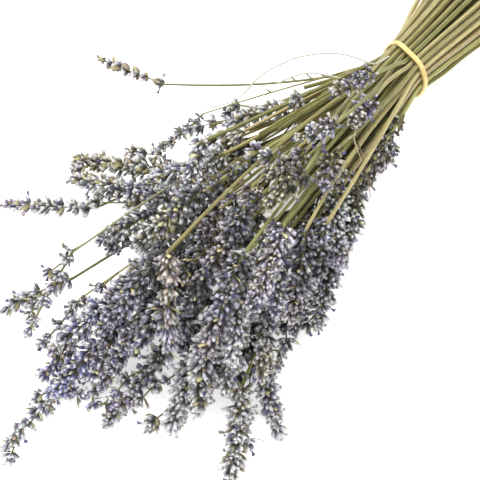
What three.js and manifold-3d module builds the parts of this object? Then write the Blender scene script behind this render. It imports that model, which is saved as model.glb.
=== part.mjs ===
// A bunch of dried lavender lying on its side, held by one natural rubber band.
// Units are millimetres, +Z is up and the surface it lies on is z = 0. The origin is the middle of the
// band's flat underside. The flower spikes fan out towards -Y and the cut stem ends point to +Y.

import * as THREE from "three";
import { mergeVertices } from "three/addons/utils/BufferGeometryUtils.js";
import Module from "manifold-3d";

const wasm = await Module();
wasm.setup();

// Driving dimensions of the tied waist.
const ROW_COUNTS = [6, 7, 8, 9, 8, 7, 6]; // stems in each layer under the band, lowest layer first
const ROW_PITCH = 3.15;
const SLOT_PITCH = 2.9;
const WAIST_HALF = 5; // the stems run straight this far each side of the band
const BAND_GAP = 0.3;
const BAND_THICK = 1.1;
const BAND_WIDTH = 3.4;
const BAND_SIDES = 26;
const BAND_TURN = -9; // degrees the band sits askew about the vertical

// Driving dimensions of a flowering stem.
const STEM_HALF = 1.0; // half the width of the square stem at its cut end
const STEM_HALF_TOP = 0.62; // the same where the spike begins
const CUT_REACH = 98; // from the band to the cut ends
const CUT_UNEVEN = 7;
const SPLAY = 1.9; // how much wider the bundle is at the cut ends than under the band
const JOINT_GAP = 0.3; // between a stem's top and the spike that it carries

// Driving dimensions of a spike.
const CALYX_COUNT = 5; // calyxes in a whorl
const WHORL_PITCH = 6.2;
const CALYX_REACH = 6.4; // from the spike's axis to a calyx's mouth
const CALYX_LEAN = 1.3; // how far a mouth lies ahead of its root, in whorl pitches
const CALYX_MOUTH = 0.95; // half the width of a mouth
const CORE_RADIUS = 2.1;
const NECK_RADIUS = 1.0;

// How the spikes pile up.
const SPIKE_ROOM = 5.1; // radius kept free round a spike
const SPIKE_REST = 5.3; // height of a spike's axis where it is pressed on the surface
const CLEAR = 0.35;
const PRESSED = 0.9; // share of that room kept between the stems and spikes of one layer
const LEVEL_STEP = 7;
const FULL_RISE = 150; // distance from the band where a layer reaches its height in the pile
const PAIR_REACH = 8; // how far off a neighbour is watched while the pile settles
const DROOP = [0, 7, 14, 21, 28, 28, 8]; // degrees that a layer's spikes hang down far from the band

// A flowering stem is a chain of points. The first two are on the cut side, the next two bound the
// straight stretch under the band, BASE is where the spike begins and TIP is where it ends.
const FREE_STEPS = 5;
const SPIKE_STEPS = 3;
const FRONT = 3;
const BASE = FRONT + FREE_STEPS;
const TIP = BASE + SPIKE_STEPS;

// The fan, layer by layer from the lowest, and from -X to +X within a layer. Each spike is given as
// x and y of its foot, x and y of its tip, how far it lies above its layer's level, and 1 where it is
// thin with open whorls.
const FAN = [
  [[-49, -147, -87, -173, 0, 1], [-35, -179, -51, -211], [-32, -182, -25, -211, 0, 1],
    [-9, -210, 1, -252, 0, 1], [11, -174, 20, -217], [29, -146, 68, -170]],
  [[-29, -113, -74, -137], [-46, -171, -28, -210, 2, 1], [-20, -122, -69, -140],
    [-12, -175, -5, -224], [18, -164, 41, -202], [38, -169, 69, -196], [27, -97, 56, -127]],
  [[-63, -87, -108, -90, 0, 1], [-25, -135, -41, -167], [-7, -165, -11, -220], [-6, -159, 9, -208],
    [25, -156, 46, -189], [16, -143, 43, -180], [23, -127, 47, -171], [28, -104, 49, -137]],
  [[-48, -88, -46, -115, 0, 1], [-16, -59, -39, -76], [-18, -124, -8, -168], [-5, -151, -6, -198],
    [-6, -129, 22, -168], [7, -149, 11, -196], [19, -140, 47, -175], [20, -111, 45, -150],
    [22, -73, 42, -103]],
  [[-20, -88, -35, -102], [-16, -103, -32, -133], [-8, -126, -11, -164], [0, -123, 4, -163],
    [5, -122, 24, -161], [17, -130, 40, -165], [23, -115, 44, -144], [21, -85, 43, -106]],
  [[-29, -106, -6, -136], [-6, -153, 25, -183], [-3, -109, 11, -138], [24, -139, 40, -172],
    [19, -121, 32, -152], [18, -117, 35, -147], [29, -106, 35, -127]],
  [[13, -84, 11, -105, 9], [20, -98, 20, -119, 8], [15, -74, 8, -92, 13], [9, -34, 1, -52, 12],
    [9, -42, 10, -61, 10], [13, -79, 26, -95, 4]],
];

const SLOT_RADIUS = Math.hypot((ROW_COUNTS[0] - 1) * SLOT_PITCH, (ROW_COUNTS.length - 1) * ROW_PITCH) / 2;
const BAND_OUTER = SLOT_RADIUS + Math.SQRT2 * STEM_HALF + BAND_GAP + BAND_THICK;
const BAND_CENTRE = BAND_OUTER * Math.cos(Math.PI / BAND_SIDES);
const RAD = Math.PI / 180;

// A seeded source of numbers from 0 to 1.
function randomFrom(seed) {
  let state = seed;
  return () => {
    state = (state + 0x6d2b79f5) | 0;
    let t = Math.imul(state ^ (state >>> 15), 1 | state);
    t = (t + Math.imul(t ^ (t >>> 7), 61 | t)) ^ t;
    return ((t ^ (t >>> 14)) >>> 0) / 4294967296;
  };
}
const random = randomFrom(2024);
const spread = (amount) => (random() * 2 - 1) * amount;

// Where the stem at a place of a layer crosses the band, as x and height above the bundle's middle.
function slotOf(layer, place) {
  const x = (place - (ROW_COUNTS[layer] - 1) / 2) * SLOT_PITCH;
  const z = (layer - (ROW_COUNTS.length - 1) / 2) * ROW_PITCH;
  return [x, z];
}

// One flowering stem, settled later, as a chain of points from its cut end to the tip of its spike.
function layStem(layer, place) {
  const [footX, footY, tipX, tipY, lift = 0, thin = 0] = FAN[layer][place];
  const [slotX, slotZ] = slotOf(layer, place);
  const base = new THREE.Vector3(footX, footY, 0);
  const tip = new THREE.Vector3(tipX, tipY, 0);
  const along = base.clone().sub(tip).normalize();
  const rise = Math.min(1, tip.length() / FULL_RISE);
  const level = THREE.MathUtils.lerp(BAND_CENTRE + slotZ, SPIKE_REST + layer * LEVEL_STEP, rise) + lift;
  const fall = (base.distanceTo(tip) * Math.tan(DROOP[layer] * rise * RAD)) / 2;
  base.z = level + fall;
  tip.z = Math.max(SPIKE_REST, level - fall);
  const length = base.distanceTo(tip);

  const cutY = CUT_REACH + spread(CUT_UNEVEN);
  const front = new THREE.Vector3(slotX, -WAIST_HALF, BAND_CENTRE + slotZ);
  const points = [
    new THREE.Vector3(slotX * SPLAY + spread(1), cutY, BAND_CENTRE * 0.92 + slotZ * SPLAY * 0.8),
    new THREE.Vector3(slotX * 1.3, cutY * 0.5, BAND_CENTRE * 0.97 + slotZ * 1.15),
    new THREE.Vector3(slotX, WAIST_HALF, BAND_CENTRE + slotZ),
    front,
  ];
  const run = front.distanceTo(base) / 2.6;
  const route = new THREE.CubicBezierCurve3(
    front,
    front.clone().add(new THREE.Vector3(slotX * 0.03 * run, -run, slotZ * 0.02 * run)),
    base.clone().addScaledVector(along, run),
    base,
  );
  for (let i = 1; i <= FREE_STEPS; i++) points.push(route.getPointAt(i / FREE_STEPS));
  for (let i = 1; i <= SPIKE_STEPS; i++) points.push(base.clone().lerp(tip, i / SPIKE_STEPS));
  const gaps = points.slice(1).map((p, i) => p.distanceTo(points[i]));
  return { layer, place, length, thin: Boolean(thin), points, gaps, base: base.clone(), tip: tip.clone() };
}

const stemHalf = (i) => THREE.MathUtils.lerp(STEM_HALF, STEM_HALF_TOP, Math.max(0, (i - FRONT) / FREE_STEPS));

// The radius kept free round the stretch after point i of a chain.
const roomOf = (stem, i) => (i < BASE ? stemHalf(i) * Math.SQRT2 : SPIKE_ROOM * (stem.thin ? 0.85 : 1));
const roomBetween = (one, i, two, j) => {
  const pressed = one.layer === two.layer && i < BASE && j < BASE;
  return (roomOf(one, i) + roomOf(two, j) + CLEAR) * (pressed ? PRESSED : 1);
};
const isHeld = (i) => i === FRONT - 1 || i === FRONT;

// The nearest points of two stretches, as shares along each.
function nearest(a, b, c, d) {
  const u = b.clone().sub(a);
  const v = d.clone().sub(c);
  const w = a.clone().sub(c);
  const uu = u.dot(u);
  const uv = u.dot(v);
  const vv = v.dot(v);
  const uw = u.dot(w);
  const vw = v.dot(w);
  const bottom = uu * vv - uv * uv;
  let s = bottom > 1e-9 ? THREE.MathUtils.clamp((uv * vw - vv * uw) / bottom, 0, 1) : 0.5;
  const t = THREE.MathUtils.clamp((uv * s + vw) / vv, 0, 1);
  s = THREE.MathUtils.clamp((uv * t - uw) / uu, 0, 1);
  return [s, t];
}

// Whether two stretches are further from each other than a distance along one of the axes.
const misses = (a, b, c, d, room) =>
  Math.max(a, b) + room < Math.min(c, d) || Math.max(c, d) + room < Math.min(a, b);
const farApart = (a, b, c, d, room) =>
  misses(a.x, b.x, c.x, d.x, room) || misses(a.y, b.y, c.y, d.y, room) || misses(a.z, b.z, c.z, d.z, room);

// Pushes two stretches apart where they come too close.
function pushApart(one, i, two, j) {
  const [a, b] = [one.points[i], one.points[i + 1]];
  const [c, d] = [two.points[j], two.points[j + 1]];
  const room = roomBetween(one, i, two, j);
  if (farApart(a, b, c, d, room)) return;
  const [s, t] = nearest(a, b, c, d);
  const away = a.clone().lerp(b, s).sub(c.clone().lerp(d, t));
  const gap = away.length();
  if (gap >= room) return;
  if (gap < 1e-6) away.set(0, 0, 1);
  away.normalize();
  const shares = [
    [a, 1 - s, isHeld(i)],
    [b, s, isHeld(i + 1)],
    [c, t - 1, isHeld(j)],
    [d, -t, isHeld(j + 1)],
  ];
  const total = shares.reduce((sum, [, share, held]) => sum + (held ? 0 : share * share), 0);
  const push = (room - gap) / Math.max(total, 0.3);
  for (const [point, share, held] of shares) {
    if (!held) point.addScaledVector(away, push * share * 0.5);
  }
}

// The pairs of stretches that could touch soon.
function closePairs(stems) {
  const pairs = [];
  stems.forEach((one, n) => {
    for (const two of stems.slice(n + 1)) {
      const [p, q] = [one.points, two.points];
      for (let i = 0; i < TIP; i++) {
        for (let j = 0; j < TIP; j++) {
          const room = roomBetween(one, i, two, j) + PAIR_REACH;
          if (!farApart(p[i], p[i + 1], q[j], q[j + 1], room)) pairs.push([one, i, two, j]);
        }
      }
    }
  });
  return pairs;
}

// Keeps the lengths of a chain's stretches.
function keepLengths(stem) {
  for (let i = 0; i < TIP; i++) {
    const [a, b] = [stem.points[i], stem.points[i + 1]];
    const free = (isHeld(i) ? 0 : 1) + (isHeld(i + 1) ? 0 : 1);
    const away = b.clone().sub(a);
    const slack = (away.length() - stem.gaps[i]) / away.length() / Math.max(free, 1);
    if (!isHeld(i)) a.addScaledVector(away, slack);
    if (!isHeld(i + 1)) b.addScaledVector(away, -slack);
  }
}

// Lets the pile settle: the chains keep their length, bend softly, stay near their places in the fan,
// and keep clear of each other and of the surface.
function settle(stems) {
  const STEPS = 340;
  const half = new THREE.Vector3();
  let pairs = [];
  for (let step = 0; step < STEPS; step++) {
    const ease = step < STEPS * 0.7 ? 1 : 0.25;
    if (step % 8 === 0) pairs = closePairs(stems);
    for (const stem of stems) {
      const p = stem.points;
      for (let i = 1; i < TIP; i++) {
        if (isHeld(i)) continue;
        half.copy(p[i - 1]).add(p[i + 1]).multiplyScalar(0.5);
        p[i].lerp(half, (i > BASE ? 0.5 : 0.3) * ease);
      }
      p[BASE].lerp(stem.base, 0.1 * ease);
      p[TIP].lerp(stem.tip, 0.1 * ease);
      keepLengths(stem);
    }
    for (let round = 0; round < 4; round++) {
      for (const [one, i, two, j] of pairs) pushApart(one, i, two, j);
      for (const stem of stems) {
        stem.points.forEach((point, i) => {
          const least = i < BASE ? STEM_HALF : SPIKE_REST;
          if (!isHeld(i) && point.z < least) point.z = least;
        });
      }
    }
  }
}

// Frames along a chain, turned as little as possible from one point to the next. The last one faces
// the given way.
function framesAlong(points, lastAhead) {
  const frames = [];
  let side = new THREE.Vector3(1, 0, 0);
  points.forEach((point, i) => {
    const before = point.clone().sub(points[Math.max(i - 1, 0)]).normalize();
    const after = points[Math.min(i + 1, points.length - 1)].clone().sub(point).normalize();
    const ahead = i === points.length - 1 ? lastAhead.clone() : before.add(after).normalize();
    side = side.clone().addScaledVector(ahead, -side.dot(ahead)).normalize();
    frames.push({ point, side, up: new THREE.Vector3().crossVectors(ahead, side) });
  });
  return frames;
}

// The frame at a distance along the stretch of a chain that starts at a point.
function frameAt(points, distance) {
  let left = distance;
  let i = 0;
  while (i < points.length - 2 && left > points[i].distanceTo(points[i + 1])) {
    left -= points[i].distanceTo(points[i + 1]);
    i++;
  }
  const ahead = points[i + 1].clone().sub(points[i]).normalize();
  const side = new THREE.Vector3(0, 0, 1).cross(ahead).normalize();
  const up = new THREE.Vector3().crossVectors(ahead, side);
  return { point: points[i].clone().addScaledVector(ahead, left), side, up };
}

// A ring's point at an angle and radius in a frame.
const around = (frame, angle, radius) =>
  frame.point
    .clone()
    .addScaledVector(frame.side, Math.cos(angle) * radius)
    .addScaledVector(frame.up, Math.sin(angle) * radius);

const onFloor = (v) => (v.z < 0 ? v.setZ(0) : v);

function geometryFrom(corners, faces) {
  const geometry = new THREE.BufferGeometry();
  geometry.setAttribute("position", new THREE.Float32BufferAttribute(corners.flatMap((v) => v.toArray()), 3));
  geometry.setIndex(faces.flat());
  return geometry;
}

// How near a point is to the stretches of a chain from one point to another.
function distanceTo(point, points, from, to) {
  const line = new THREE.Line3();
  const foot = new THREE.Vector3();
  let least = Infinity;
  for (let i = from; i < to; i++) {
    line.set(points[i], points[i + 1]).closestPointToPoint(point, true, foot);
    least = Math.min(least, foot.distanceTo(point));
  }
  return least;
}

// How far a calyx can reach before it meets a neighbour: it stays nearer to its own spike's axis than
// to another's, and clear of the stems that pass.
function roomToGrow(frame, angle, wanted, others) {
  const STEP = 0.2;
  const stemRoom = STEM_HALF + CALYX_MOUTH + 0.4;
  let far = wanted;
  const free = (reach) => {
    const mouth = around(frame, angle, reach + 0.5);
    const body = around(frame, angle, reach * 0.72);
    return others.every(
      ({ points }) =>
        distanceTo(mouth, points, BASE, TIP) > reach + CALYX_MOUTH &&
        distanceTo(mouth, points, FRONT, BASE) > stemRoom &&
        distanceTo(body, points, FRONT, BASE) > stemRoom,
    );
  };
  while (far > CORE_RADIUS + 0.8 && !free(far)) far -= STEP;
  return far;
}

// A spike is one closed surface: rings of the core, with the patch between two rings raised into a
// calyx that leans forward and ends in a blunt mouth. Each whorl is turned half a calyx from the last.
function spikeGeometry(stem, others) {
  const line = stem.points.slice(BASE);
  const n = CALYX_COUNT;
  const pitch = WHORL_PITCH * (stem.thin ? 1.2 : 1);
  const whorls = Math.max(4, Math.round(stem.length / pitch));
  const run = stem.length / (whorls + 0.25);
  const turn = (2 * Math.PI) / n;
  const start = random() * turn;
  const core = CORE_RADIUS * (stem.thin ? 0.8 : 1);
  const corners = [];
  const faces = [];
  const ringAt = (i, k) => i * n + ((k + n) % n);
  for (let i = 0; i <= whorls; i++) {
    const frame = frameAt(line, i * run);
    const radius = i === 0 ? NECK_RADIUS : core * (i === whorls ? 0.6 : 1);
    for (let k = 0; k < n; k++) corners.push(around(frame, start + (k + i / 2) * turn, radius));
  }
  for (let i = 0; i < whorls; i++) {
    const share = i / (whorls - 1);
    const full = 1 - 0.32 * share * share - (i === 0 ? 0.12 : 0);
    const reach = CALYX_REACH * full * (stem.thin ? 0.85 : 1);
    for (let k = 0; k < n; k++) {
      const [a, b, c, d] = [ringAt(i, k), ringAt(i, k + 1), ringAt(i + 1, k + 1), ringAt(i + 1, k)];
      const frame = frameAt(line, (i + CALYX_LEAN + spread(0.12)) * run);
      const middle = start + (k + i / 2 + 0.75) * turn;
      const far = roomToGrow(frame, middle, reach - Math.abs(spread(0.5)), others);
      const wide = Math.atan2(CALYX_MOUTH * full, far);
      corners.push(onFloor(around(frame, middle - wide, far)), onFloor(around(frame, middle + wide, far)));
      const [m, o] = [corners.length - 2, corners.length - 1];
      faces.push([a, b, o], [a, o, m], [b, c, o], [d, a, m], [d, m, o], [d, o, c]);
    }
  }
  corners.push(frameAt(line, stem.length).point);
  const top = corners.length - 1;
  for (let k = 0; k < n; k++) faces.push([ringAt(whorls, k), ringAt(whorls, k + 1), top]);
  for (let k = 1; k < n - 1; k++) faces.push([ringAt(0, 0), ringAt(0, k + 1), ringAt(0, k)]);
  return geometryFrom(corners, faces);
}

// A stem is a square tube along its chain, from the cut end to just short of the spike.
function stemGeometry(stem) {
  const line = stem.points.slice(0, BASE + 1).map((p) => p.clone());
  const last = line.length - 1;
  const ahead = stem.points[BASE + 1].clone().sub(line[last]).normalize();
  line[last].addScaledVector(ahead, -JOINT_GAP);
  const corners = [];
  const faces = [];
  framesAlong(line, ahead).forEach((frame, i) => {
    const half = stemHalf(i);
    for (let k = 0; k < 4; k++) {
      corners.push(onFloor(around(frame, (k + 0.5) * Math.PI * 0.5, half * Math.SQRT2)));
    }
    if (i === 0) return;
    const at = (ring, k) => ring * 4 + (k % 4);
    for (let k = 0; k < 4; k++) {
      faces.push([at(i - 1, k), at(i - 1, k + 1), at(i, k + 1)], [at(i - 1, k), at(i, k + 1), at(i, k)]);
    }
  });
  const end = last * 4;
  faces.push([0, 2, 1], [0, 3, 2], [end, end + 1, end + 2], [end, end + 2, end + 3]);
  return geometryFrom(corners, faces);
}

// The stretch under the band where a layer's stems are pressed side against side.
function pressedGeometry(layer) {
  const thick = STEM_HALF * 0.55;
  const reach = 1.5;
  const slots = FAN[layer].map((_, place) => slotOf(layer, place));
  const upper = slots.map(([x, z]) => new THREE.Vector2(x, z + thick));
  const lower = slots.map(([x, z]) => new THREE.Vector2(x, z - thick)).reverse();
  const strip = new THREE.ExtrudeGeometry(new THREE.Shape([...upper, ...lower]), {
    depth: 2 * reach,
    bevelEnabled: false,
  });
  return strip.rotateX(Math.PI / 2).translate(0, reach, BAND_CENTRE);
}

// The rubber band, with one of its sides flat on the surface.
function bandGeometry() {
  const ring = (radius) =>
    Array.from({ length: BAND_SIDES }, (_, i) => {
      const angle = -Math.PI / 2 + ((i + 0.5) * 2 * Math.PI) / BAND_SIDES;
      return new THREE.Vector2(Math.cos(angle) * radius, Math.sin(angle) * radius);
    });
  const shape = new THREE.Shape(ring(BAND_OUTER));
  shape.holes.push(new THREE.Path(ring(BAND_OUTER - BAND_THICK)));
  const band = new THREE.ExtrudeGeometry(shape, { depth: BAND_WIDTH, bevelEnabled: false });
  return band.rotateX(Math.PI / 2).translate(0, BAND_WIDTH / 2, BAND_CENTRE);
}

function solidFrom(geometry) {
  const plain = geometry.clone();
  plain.deleteAttribute("normal");
  plain.deleteAttribute("uv");
  const merged = mergeVertices(plain, 1e-4);
  return new wasm.Manifold(
    new wasm.Mesh({
      numProp: 3,
      vertProperties: merged.attributes.position.array,
      triVerts: new Uint32Array(merged.index.array),
    }),
  );
}

function geometryOf(solid) {
  const mesh = solid.getMesh();
  const geometry = new THREE.BufferGeometry();
  geometry.setAttribute("position", new THREE.BufferAttribute(mesh.vertProperties, 3));
  geometry.setIndex(new THREE.BufferAttribute(mesh.triVerts, 1));
  return geometry;
}

// A layer's stems are one solid, joined where they are pressed together under the band.
function layerGeometry(stems) {
  const joined = stems.reduce(
    (sum, stem) => sum.add(solidFrom(stemGeometry(stem))),
    solidFrom(pressedGeometry(stems[0].layer)),
  );
  return geometryOf(joined);
}

const stemFinish = new THREE.MeshStandardMaterial({ color: 0xa39a5c, roughness: 0.75, metalness: 0 });
const spikeFinish = new THREE.MeshStandardMaterial({ color: 0x8a86a3, roughness: 0.9, metalness: 0 });
const bandFinish = new THREE.MeshStandardMaterial({ color: 0xe2cf86, roughness: 0.5, metalness: 0 });

function meshOf(name, geometry, finish) {
  const mesh = new THREE.Mesh(geometry, finish);
  mesh.name = name;
  return mesh;
}

function buildBunch() {
  const bunch = new THREE.Group();
  const stems = FAN.flatMap((spikes, layer) => spikes.map((_, place) => layStem(layer, place)));
  settle(stems);
  FAN.forEach((_, layer) => {
    const members = stems.filter((stem) => stem.layer === layer);
    bunch.add(meshOf(`stems_layer_${layer + 1}`, layerGeometry(members), stemFinish));
  });
  stems.forEach((stem, i) => {
    const name = `spike_${String(i + 1).padStart(2, "0")}`;
    const others = stems.filter((other) => other !== stem);
    bunch.add(meshOf(name, spikeGeometry(stem, others), spikeFinish));
  });
  const band = meshOf("rubber_band", bandGeometry(), bandFinish);
  band.rotation.z = BAND_TURN * RAD;
  bunch.add(band);
  return bunch;
}

export default buildBunch();
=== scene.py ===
import math

import bmesh
import bpy
import numpy as np
from mathutils import Matrix, Vector


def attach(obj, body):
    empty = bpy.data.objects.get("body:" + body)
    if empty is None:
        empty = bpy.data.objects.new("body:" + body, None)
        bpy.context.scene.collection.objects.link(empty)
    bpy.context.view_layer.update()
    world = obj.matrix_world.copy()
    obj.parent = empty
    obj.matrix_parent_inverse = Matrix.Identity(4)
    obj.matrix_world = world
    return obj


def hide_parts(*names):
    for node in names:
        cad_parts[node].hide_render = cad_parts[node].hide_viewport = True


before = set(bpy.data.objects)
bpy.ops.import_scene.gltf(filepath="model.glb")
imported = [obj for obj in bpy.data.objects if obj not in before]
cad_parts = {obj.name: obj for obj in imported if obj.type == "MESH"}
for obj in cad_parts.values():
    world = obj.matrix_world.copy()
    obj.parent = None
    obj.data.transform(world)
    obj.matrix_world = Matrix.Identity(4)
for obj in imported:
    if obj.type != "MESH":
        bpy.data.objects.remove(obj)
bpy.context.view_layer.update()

# The looks of a bunch of dried lavender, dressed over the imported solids. Lengths below are in
# millimetres and become metres when a mesh is written.
mm = 0.001

bunch = {
    "seed": 41,
    "layers": 7,
    "cutSide": 6.5,  # beyond this y a stem is on its cut side
    "headSide": -6.5,
    "floorGap": 0.35,  # nearer to the floor than this, shapes are pressed together
    "pressed": 0.04,  # how much of their depth there is left
    "lowest": 0.05,
}


def unit(v):
    return v / np.maximum(np.linalg.norm(v, axis=-1, keepdims=True), 1e-9)


def fromHex(code):
    values = [int(code[i : i + 2], 16) / 255 for i in (0, 2, 4)]
    return np.array([v / 12.92 if v <= 0.04045 else ((v + 0.055) / 1.055) ** 2.4 for v in values])


def solidOf(name):
    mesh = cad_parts[name].data
    places = np.empty(len(mesh.vertices) * 3, np.float32)
    mesh.vertices.foreach_get("co", places)
    corners = np.empty(len(mesh.loops), np.int32)
    mesh.loops.foreach_get("vertex_index", corners)
    points, merged = np.unique(
        np.round(places.reshape(-1, 3).astype(float) / mm, 3), axis=0, return_inverse=True
    )
    triangles = merged.reshape(-1)[corners].reshape(-1, 3)
    links = [set() for _ in points]
    for a, b, c in triangles:
        links[a] |= {b, c}
        links[b] |= {a, c}
        links[c] |= {a, b}
    return points, links


def groupsOf(members, links):
    # connected groups among some vertices
    left = set(members)
    groups = []
    while left:
        group, edge = set(), [left.pop()]
        while edge:
            at = edge.pop()
            group.add(at)
            for near in links[at]:
                if near in left:
                    left.remove(near)
                    edge.append(near)
        groups.append(group)
    return groups


def ringsOf(group, points, links):
    # walks a stem's free stretch ring by ring, away from the band
    level = {v for v in group if links[v] - group}
    before = set().union(*(links[v] for v in level)) - group
    rings = [points[list(before)].mean(0), points[list(level)].mean(0)]
    seen = set(level)
    while True:
        level = set().union(*(links[v] for v in level)) & group - seen
        if not level:
            return rings
        seen |= level
        rings.append(points[list(level)].mean(0))


def stemsOf(name):
    # every stem of a layer as points from its cut end to its head
    points, links = solidOf(name)
    cutGroups = groupsOf(np.flatnonzero(points[:, 1] > bunch["cutSide"]), links)
    headGroups = groupsOf(np.flatnonzero(points[:, 1] < bunch["headSide"]), links)
    tails = [ringsOf(g, points, links) for g in cutGroups]
    heads = [ringsOf(g, points, links) for g in headGroups]
    stems = []
    for head in heads:
        tail = min(tails, key=lambda t: np.hypot(t[0][0] - head[0][0], t[0][2] - head[0][2]))
        stems.append(np.array(tail[::-1] + head))
    return stems


axisFit = {
    "steps": 30,
    "reaches": (3.4, 3.0, 2.7),  # how near the axis a point has to be to count, pass by pass
    "bend": 14,
}


def axisOf(name, base):
    # the spike's axis, from its foot near a stem's top to its tip, bent as the solid is
    points, _ = solidOf(name)
    tip = points[np.argmax(np.linalg.norm(points - base, axis=1))]
    along = np.linspace(0, 1, axisFit["steps"])[:, None]
    straight = base + (tip - base) * along
    arcs = np.hstack([along * (1 - along), along * (1 - along) * (2 * along - 1)])
    bend = np.zeros((2, 3))
    for reach in axisFit["reaches"]:
        gaps = np.linalg.norm(points[:, None] - (straight + arcs @ bend)[None], axis=2)
        near = gaps.min(1) < reach
        places = gaps.argmin(1)[near]
        bend = np.linalg.lstsq(arcs[places], points[near] - straight[places], rcond=None)[0]
        bend = np.clip(bend, -axisFit["bend"], axisFit["bend"])
    return straight + arcs @ bend


class Path:
    # a smooth line through points, with a frame at every place
    def __init__(self, points, steps=160):
        points = np.asarray(points, float)
        ends = np.vstack([2 * points[0] - points[1], points, 2 * points[-1] - points[-2]])
        gaps = np.linalg.norm(np.diff(ends, axis=0), axis=1)
        knots = np.concatenate([[0], np.cumsum(gaps**0.5)])
        line = []
        count = max(3, steps // len(points))
        for i in range(1, len(ends) - 2):
            t = np.linspace(knots[i], knots[i + 1], count, endpoint=False)[:, None]
            k = knots[i - 1 : i + 3]
            p = ends[i - 1 : i + 3]
            a = [((k[j + 1] - t) * p[j] + (t - k[j]) * p[j + 1]) / (k[j + 1] - k[j]) for j in (0, 1, 2)]
            b = [((k[j + 2] - t) * a[j] + (t - k[j]) * a[j + 1]) / (k[j + 2] - k[j]) for j in (0, 1)]
            line.append(((k[2] - t) * b[0] + (t - k[1]) * b[1]) / (k[2] - k[1]))
        self.points = np.vstack(line + [points[-1:]])
        steps = np.linalg.norm(np.diff(self.points, axis=0), axis=1)
        self.spans = np.concatenate([[0], np.cumsum(steps)])
        self.length = self.spans[-1]
        self.ahead = unit(np.gradient(self.points, axis=0))
        side = np.zeros_like(self.points)
        last = np.array([0, 0, 1.0]) if abs(self.ahead[0][2]) < 0.9 else np.array([1.0, 0, 0])
        for i, ahead in enumerate(self.ahead):
            last = unit(last - ahead * last.dot(ahead))
            side[i] = last
        self.side = side
        self.up = np.cross(self.ahead, side)

    def at(self, spans):
        def read(values):
            return np.stack([np.interp(spans, self.spans, values[:, i]) for i in range(3)], axis=-1)
        return read(self.points), unit(read(self.ahead)), unit(read(self.side)), unit(read(self.up))

    def frameAt(self, span):
        # the place at one span, and the directions ahead, to the side and up there
        return [values[0] for values in self.at(np.array([span]))]

    def waist(self):
        # the span at which a stem passes under the band
        return np.interp(0, self.points[::-1, 1], self.spans[::-1])


def tagRow(mesh, row, sides, centre, half):
    # notes which ring and which side the selected vertices belong to, for the pattern along a shape
    shape = bmesh.from_edit_mesh(mesh)
    rows = shape.verts.layers.int.get("row") or shape.verts.layers.int.new("row")
    places = shape.verts.layers.int.get("side") or shape.verts.layers.int.new("side")
    for vertex in shape.verts:
        if vertex.select:
            turn = math.atan2((vertex.co.y - centre[1]) / half[1], (vertex.co.x - centre[0]) / half[0])
            vertex[rows] = row
            vertex[places] = round(turn / math.tau * sides) % sides
    bmesh.update_edit_mesh(mesh)


def modelTube(name, sides, stations):
    # a closed tube drawn up ring by ring; a station is height, half widths and shift to the side
    z, halfX, halfY, shift = stations[0]
    bpy.ops.object.select_all(action="DESELECT")
    bpy.ops.mesh.primitive_circle_add(vertices=sides, radius=1, fill_type="NGON", location=(0, 0, 0))
    piece = bpy.context.object
    piece.name = name
    bpy.ops.object.mode_set(mode="EDIT")
    bpy.ops.mesh.select_all(action="SELECT")
    bpy.ops.transform.resize(value=(halfX, halfY, 1), center_override=(0, 0, 0))
    bpy.ops.transform.translate(value=(shift, 0, z))
    tagRow(piece.data, 0, sides, (shift, 0), (halfX, halfY))
    for row, (nextZ, nextX, nextY, nextShift) in enumerate(stations[1:], 1):
        bpy.ops.mesh.extrude_region_move(
            TRANSFORM_OT_translate={"value": (nextShift - shift, 0, nextZ - z)}
        )
        z, shift = nextZ, nextShift
        bpy.ops.transform.resize(
            value=(nextX / halfX, nextY / halfY, 1), center_override=(shift, 0, z)
        )
        halfX, halfY = nextX, nextY
        tagRow(piece.data, row, sides, (shift, 0), (halfX, halfY))
    bpy.ops.mesh.select_all(action="SELECT")
    bpy.ops.mesh.normals_make_consistent(inside=False)
    bpy.ops.object.mode_set(mode="OBJECT")
    return piece


def moveRing(piece, row, keep, value):
    # moves those vertices of a ring whose side passes the test
    bpy.ops.object.mode_set(mode="EDIT")
    bpy.ops.mesh.select_all(action="DESELECT")
    shape = bmesh.from_edit_mesh(piece.data)
    rows, places = shape.verts.layers.int["row"], shape.verts.layers.int["side"]
    for vertex in shape.verts:
        vertex.select = vertex[rows] == row and keep(vertex[places])
    bmesh.update_edit_mesh(piece.data)
    bpy.ops.transform.translate(value=value)
    bpy.ops.object.mode_set(mode="OBJECT")


bakeCell = {"margin": 0.04, "cap": 0.016, "capRadius": 0.012}  # of a shape's own square of the bake map


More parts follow.
